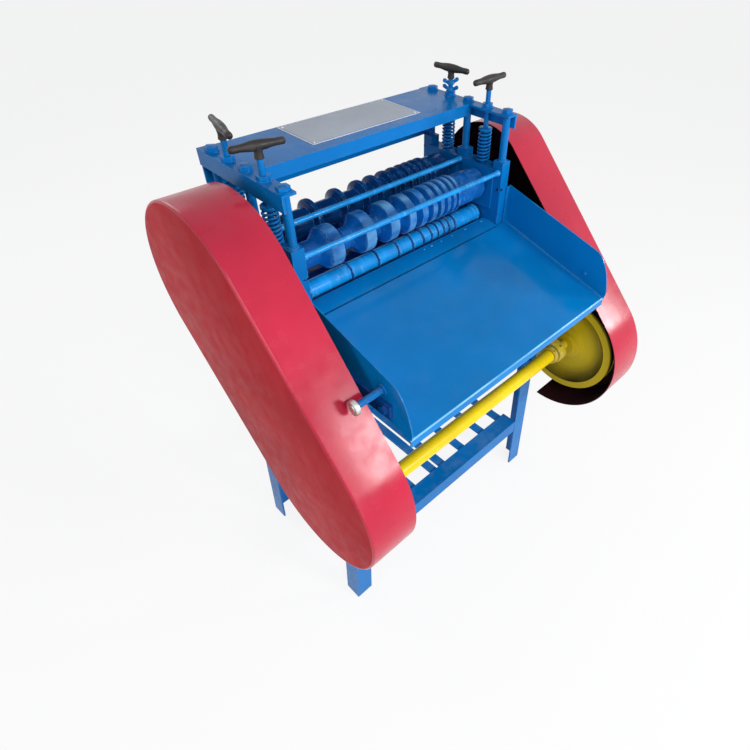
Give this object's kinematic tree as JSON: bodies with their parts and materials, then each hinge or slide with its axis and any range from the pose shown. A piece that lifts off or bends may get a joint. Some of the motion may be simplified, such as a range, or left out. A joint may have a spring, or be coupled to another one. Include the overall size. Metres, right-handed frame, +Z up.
{
  "type": "wire stripping machine",
  "caption": "Belt-driven cable stripping machine: grooved rollers over bladed rollers on an angle-iron stand, with a sloping feed tray and red belt guards",
  "frame": {"origin": "centre of the bounding box in x and y, on the floor plane under the feet", "axes": "+X along the rollers to the machine's right as its user at the feed tray sees it, +Y from the feed tray to the outlet side, +Z up"},
  "size_m": [0.922, 0.685, 1.221],
  "materials": {
    "blue_paint": "gloss",
    "glossy_blue_paint": "gloss",
    "red_paint": "gloss",
    "yellow_paint": "satin",
    "grey_paint": "satin",
    "bare_steel": "satin",
    "zinc": "satin",
    "dark_handle": "matte",
    "belt_rubber": "matte"
  },
  "bodies": {
    "frame": {"drive_belt": "belt_rubber", "feed_belt": "belt_rubber", "feed_tray": "blue_paint", "flange_bearing_front_left": "blue_paint", "flange_bearing_front_right": "blue_paint", "flange_bearing_rear_left": "blue_paint", "flange_bearing_rear_right": "blue_paint", "front_crossbar": "blue_paint", "front_leg_left": "blue_paint", "front_leg_right": "blue_paint", "front_rail": "blue_paint", "front_tie_rod": "blue_paint", "guard_left": "red_paint", "guard_right": "red_paint", "lower_rack": "blue_paint", "middle_tie_rod": "blue_paint", "motor": "grey_paint", "motor_fan_cover": "grey_paint", "motor_rail_left": "blue_paint", "motor_rail_right": "blue_paint", "motor_shelf": "blue_paint", "pillow_block_left": "yellow_paint", "pillow_block_right": "yellow_paint", "pressure_spring_front_left": "blue_paint", "pressure_spring_front_right": "blue_paint", "pressure_spring_rear_left": "blue_paint", "pressure_spring_rear_right": "blue_paint", "rear_leg_left": "blue_paint", "rear_leg_right": "blue_paint", "rear_rail": "blue_paint", "shaft_bracket_left": "blue_paint", "shaft_bracket_right": "blue_paint", "side_plate_left": "blue_paint", "side_plate_right": "blue_paint", "side_rail_left": "blue_paint", "side_rail_right": "blue_paint", "top_bar_left": "blue_paint", "top_bar_right": "blue_paint", "top_channel": "blue_paint", "tray_arm_left": "blue_paint", "tray_arm_right": "blue_paint"},
    "countershaft": {"countershaft": "yellow_paint", "countershaft_pulley": "yellow_paint", "feed_pulley": "bare_steel"},
    "motor_rotor": {"motor_pulley": "bare_steel"},
    "front_lower_roller": {"front_blade_roller": "glossy_blue_paint", "roller_pulley_front": "bare_steel"},
    "rear_lower_roller": {"rear_blade_roller": "glossy_blue_paint", "roller_pulley_rear": "bare_steel"},
    "front_carriage": {"bearing_block_front_left": "blue_paint", "bearing_block_front_right": "blue_paint"},
    "rear_carriage": {"bearing_block_rear_left": "blue_paint", "bearing_block_rear_right": "blue_paint"},
    "front_upper_roller": {"front_grooved_roller": "blue_paint"},
    "rear_upper_roller": {"rear_grooved_roller": "blue_paint"},
    "tray_clamp": {"tray_clamp_screw": "zinc"},
    "screw_front_left": {"pressure_screw_front_left": "dark_handle"},
    "screw_front_right": {"pressure_screw_front_right": "dark_handle"},
    "screw_rear_left": {"pressure_screw_rear_left": "dark_handle"},
    "screw_rear_right": {"pressure_screw_rear_right": "dark_handle"}
  },
  "joints": [
    {"name": "countershaft_spin", "type": "hinge", "parent": "frame", "child": "countershaft", "pos_m": [0, -0.1755, 0.591], "axis": [1, 0, 0], "continuous": true},
    {"name": "motor_spin", "type": "hinge", "parent": "frame", "child": "motor_rotor", "pos_m": [0, 0.1115, 0.735], "axis": [1, 0, 0], "continuous": true},
    {"name": "front_lower_roller_spin", "type": "hinge", "parent": "frame", "child": "front_lower_roller", "pos_m": [0, 0.131, 0.9], "axis": [1, 0, 0], "continuous": true},
    {"name": "rear_lower_roller_spin", "type": "hinge", "parent": "frame", "child": "rear_lower_roller", "pos_m": [0, 0.25, 0.9], "axis": [1, 0, 0], "continuous": true},
    {"name": "front_carriage_lift", "type": "slide", "parent": "frame", "child": "front_carriage", "axis": [0, 0, 1], "range_m": [0, 0.02], "stiffness_N_per_m": 8000, "springref_m": -0.005, "deforming": ["pressure_spring_front_left", "pressure_spring_front_right"]},
    {"name": "front_upper_roller_spin", "type": "hinge", "parent": "front_carriage", "child": "front_upper_roller", "pos_m": [0, 0.131, 0.982], "axis": [1, 0, 0], "continuous": true},
    {"name": "rear_carriage_lift", "type": "slide", "parent": "frame", "child": "rear_carriage", "axis": [0, 0, 1], "range_m": [0, 0.02], "stiffness_N_per_m": 8000, "springref_m": -0.005, "deforming": ["pressure_spring_rear_left", "pressure_spring_rear_right"]},
    {"name": "rear_upper_roller_spin", "type": "hinge", "parent": "rear_carriage", "child": "rear_upper_roller", "pos_m": [0, 0.25, 0.982], "axis": [1, 0, 0], "continuous": true},
    {"name": "front_left_screw_turn", "type": "hinge", "parent": "frame", "child": "screw_front_left", "pos_m": [-0.3, 0.131, 1.153], "axis": [0, 0, 1], "continuous": true},
    {"name": "front_right_screw_turn", "type": "hinge", "parent": "frame", "child": "screw_front_right", "pos_m": [0.3, 0.131, 1.153], "axis": [0, 0, 1], "continuous": true},
    {"name": "rear_left_screw_turn", "type": "hinge", "parent": "frame", "child": "screw_rear_left", "pos_m": [-0.3, 0.25, 1.153], "axis": [0, 0, 1], "continuous": true},
    {"name": "rear_right_screw_turn", "type": "hinge", "parent": "frame", "child": "screw_rear_right", "pos_m": [0.3, 0.25, 1.153], "axis": [0, 0, 1], "continuous": true},
    {"name": "tray_clamp_turn", "type": "hinge", "parent": "frame", "child": "tray_clamp", "pos_m": [-0.35, -0.1915, 0.8895], "axis": [1, 0, 0], "continuous": true}
  ],
  "couplings": [
    {"joint": "motor_spin", "follows": "countershaft_spin", "ratio": 4.8214},
    {"joint": "front_lower_roller_spin", "follows": "countershaft_spin", "ratio": 0.8667},
    {"joint": "rear_lower_roller_spin", "follows": "countershaft_spin", "ratio": 0.8667}
  ]
}
